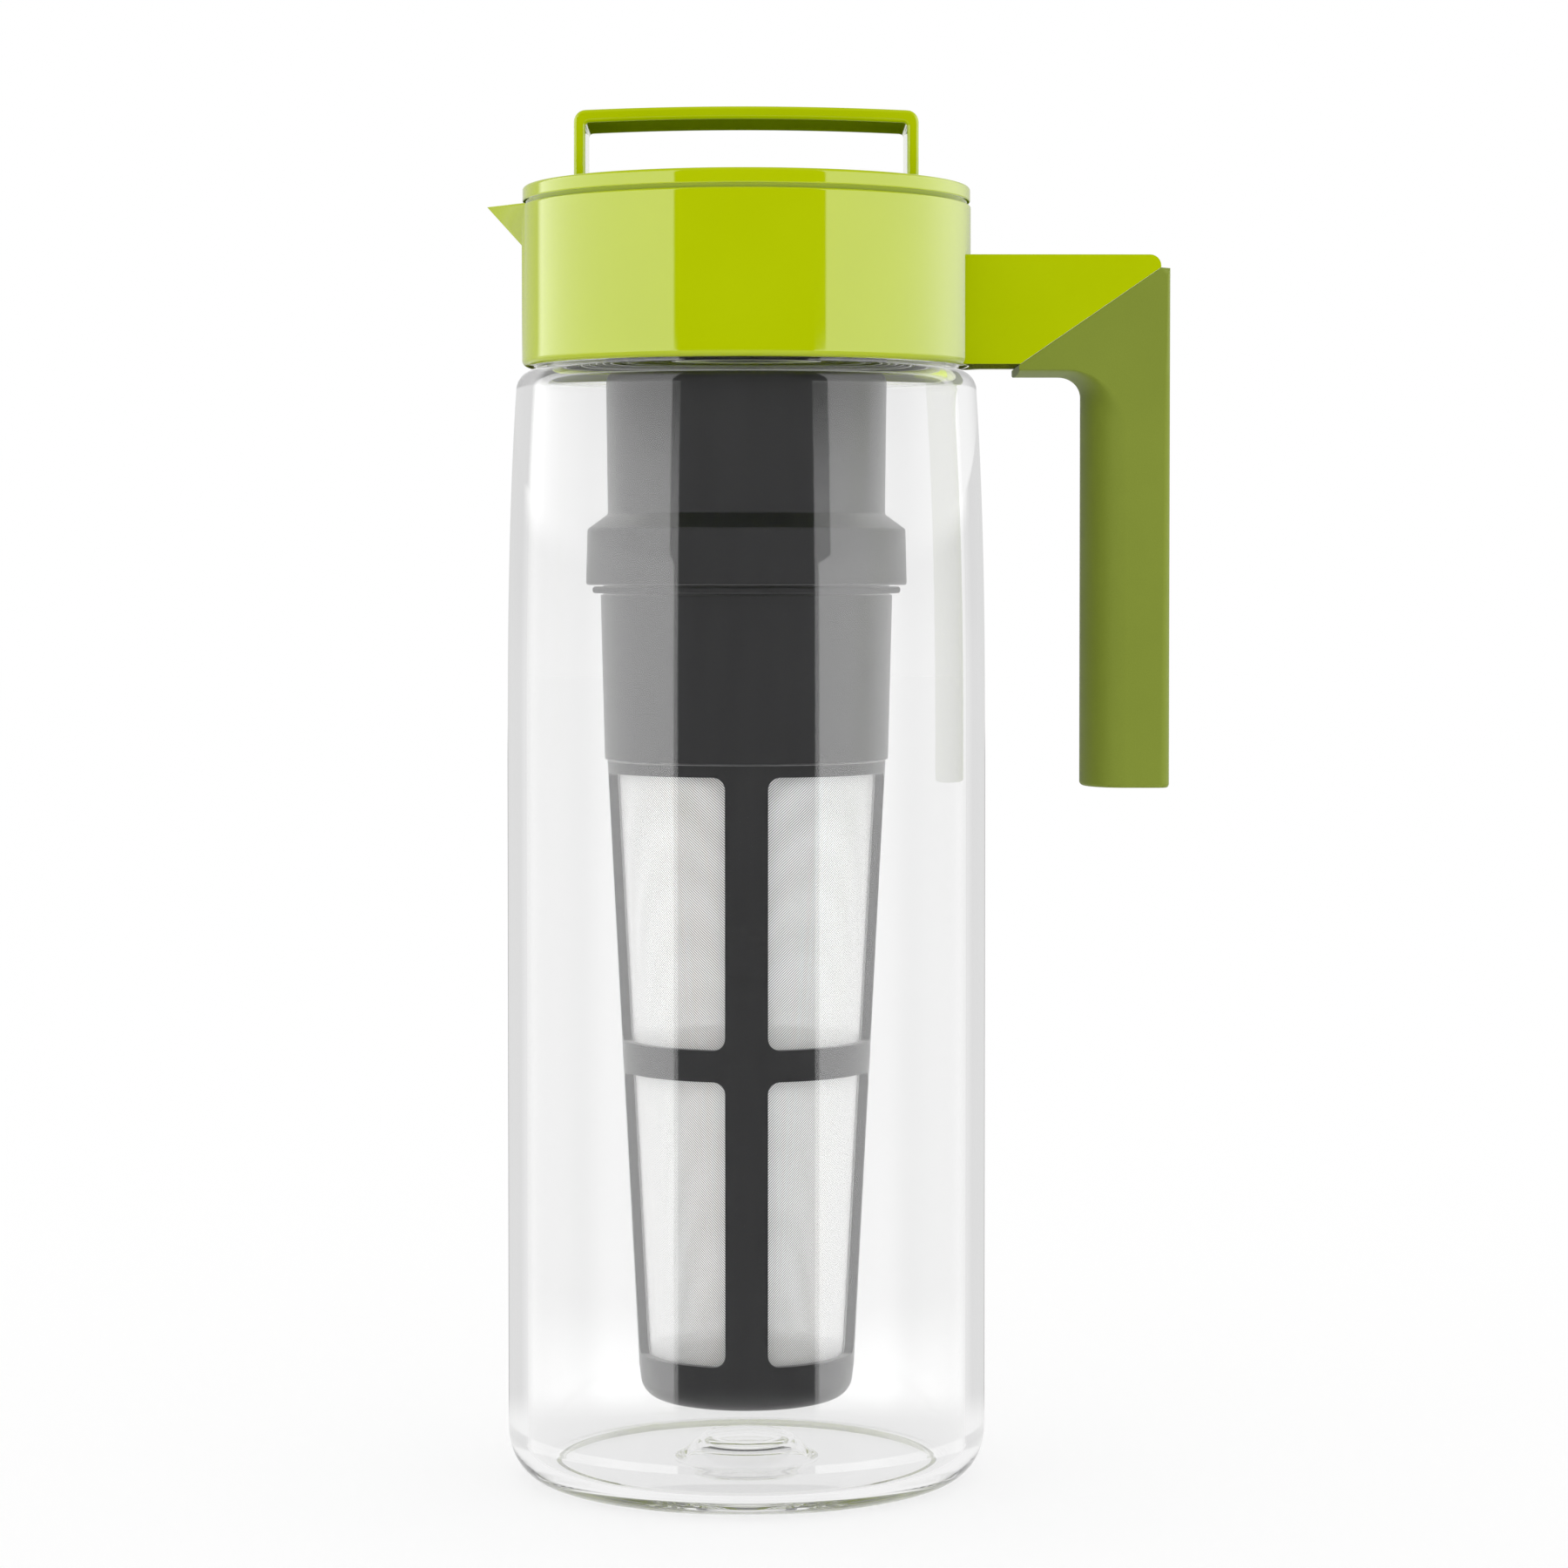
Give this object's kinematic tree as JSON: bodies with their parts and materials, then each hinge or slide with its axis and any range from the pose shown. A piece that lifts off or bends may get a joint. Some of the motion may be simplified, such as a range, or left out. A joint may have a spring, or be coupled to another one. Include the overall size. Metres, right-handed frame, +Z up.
{
  "type": "iced tea pitcher",
  "caption": "Tall clear pitcher with a lime pouring collar and L-shaped side handle, a strap-handled twist-out lid, and a dark mesh infuser hanging inside.",
  "frame": {"origin": "on the surface the pitcher stands on, under the middle of its outline from spout tip to handle", "axes": "+Z up, +X towards the handle, -X towards the spout, -Y towards the viewer of the picture"},
  "size_m": [0.1492, 0.1052, 0.3],
  "materials": {
    "clear_plastic": "clear, polished",
    "lime_plastic": "high gloss",
    "soft_touch": "satin soft touch",
    "dark_plastic": "semi gloss",
    "dark_silicone": "satin",
    "pale_silicone": "satin",
    "woven_mesh": "fine woven nylon"
  },
  "bodies": {
    "pitcher": {"jar": "clear_plastic", "neck_seal": "pale_silicone", "spout_collar": "lime_plastic", "handle_arm": "lime_plastic", "handle_grip": "soft_touch"},
    "lid_ring": {"lid_seal": "pale_silicone"},
    "lid": {"lid_cap": "lime_plastic", "lid_strap": "lime_plastic", "lid_plug": "lime_plastic"},
    "tube_ring": {"tube_seal": "pale_silicone"},
    "tube": {"infuser_tube": "dark_plastic"},
    "basket_ring": {"basket_seal": "dark_silicone"},
    "basket": {"basket_sleeve": "dark_plastic", "basket_frame": "dark_plastic", "basket_mesh": "woven_mesh"}
  },
  "joints": [
    {"name": "lid_lift", "type": "slide", "parent": "pitcher", "child": "lid_ring", "axis": [0, 0, 1], "range_m": [0, 0.27]},
    {"name": "lid_turn", "type": "hinge", "parent": "lid_ring", "child": "lid", "pos_m": [-0.01752, 0, 0.28], "axis": [0, 0, 1], "range_deg": [0, 90]},
    {"name": "tube_drop", "type": "slide", "parent": "lid", "child": "tube_ring", "axis": [0, 0, -1], "range_m": [0, 0.003]},
    {"name": "tube_turn", "type": "hinge", "parent": "tube_ring", "child": "tube", "pos_m": [-0.01752, 0, 0.262], "axis": [0, 0, -1], "range_deg": [0, 270]},
    {"name": "basket_drop", "type": "slide", "parent": "tube", "child": "basket_ring", "axis": [0, 0, -1], "range_m": [0, 0.003]},
    {"name": "basket_turn", "type": "hinge", "parent": "basket_ring", "child": "basket", "pos_m": [-0.01752, 0, 0.195], "axis": [0, 0, -1], "range_deg": [0, 270]}
  ],
  "couplings": [
    {"joint": "tube_drop", "follows": "tube_turn", "m_per_rad": 0.0006366},
    {"joint": "basket_drop", "follows": "basket_turn", "m_per_rad": 0.0006366}
  ]
}
